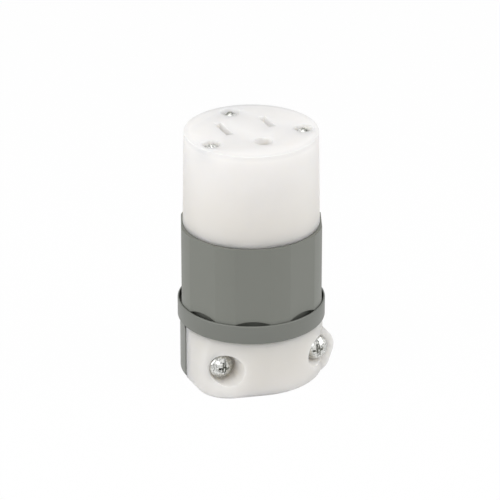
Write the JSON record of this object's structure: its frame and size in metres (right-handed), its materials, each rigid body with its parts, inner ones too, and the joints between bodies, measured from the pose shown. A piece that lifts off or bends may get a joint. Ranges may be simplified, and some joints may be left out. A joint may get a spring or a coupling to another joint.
{
  "type": "inline power connector",
  "caption": "Round female inline power connector: white socket barrel, grey grip sleeve with flats and collar, and a screw-down cord clamp at the cord end.",
  "frame": {"origin": "centre of the flat cord end that the connector stands on", "axes": "+Z along the main axis from the cord end up to the socket face; -Y towards the heads of the clamp screws; +X to the right as seen from the screw heads"},
  "size_m": [0.0404, 0.0404, 0.0704],
  "materials": {
    "white_nylon": "satin",
    "grey_nylon": "satin",
    "black_insulator": "matt",
    "plated_steel": "bright zinc plate",
    "contact_brass": "bright",
    "nickel_brass": "nickel plate",
    "green_brass": "green dye"
  },
  "bodies": {
    "housing": {"front_body": "white_nylon", "grip_sleeve": "grey_nylon", "back_housing": "grey_nylon", "contact_retainer": "black_insulator", "face_screw_rear": "plated_steel", "face_screw_left": "plated_steel", "face_screw_right": "plated_steel", "hot_contact": "contact_brass", "neutral_contact": "contact_brass", "ground_contact": "contact_brass", "clamp_insert_left": "contact_brass", "clamp_insert_right": "contact_brass", "hot_wire_plate": "contact_brass", "hot_terminal_screw": "contact_brass", "ground_wire_plate": "contact_brass", "neutral_wire_plate": "contact_brass", "neutral_terminal_screw": "nickel_brass", "ground_terminal_screw": "green_brass"},
    "jaw": {"cord_clamp_jaw": "white_nylon"},
    "left_screw": {"clamp_screw_left": "plated_steel"},
    "right_screw": {"clamp_screw_right": "plated_steel"}
  },
  "joints": [
    {"name": "jaw_slide", "type": "slide", "parent": "housing", "child": "jaw", "axis": [0, -1, 0], "range_m": [-0.0005, 0.0035]},
    {"name": "left_clamp_screw_turn", "type": "hinge", "parent": "jaw", "child": "left_screw", "pos_m": [-0.0141, -0.0116, 0.0079], "axis": [0, -1, 0], "range_deg": [-226.77, 1587.4]},
    {"name": "right_clamp_screw_turn", "type": "hinge", "parent": "jaw", "child": "right_screw", "pos_m": [0.0141, -0.0116, 0.0079], "axis": [0, -1, 0], "range_deg": [-226.77, 1587.4]}
  ],
  "couplings": [
    {"joint": "left_clamp_screw_turn", "follows": "jaw_slide", "rad_per_m": 7915.8},
    {"joint": "right_clamp_screw_turn", "follows": "jaw_slide", "rad_per_m": 7915.8}
  ]
}
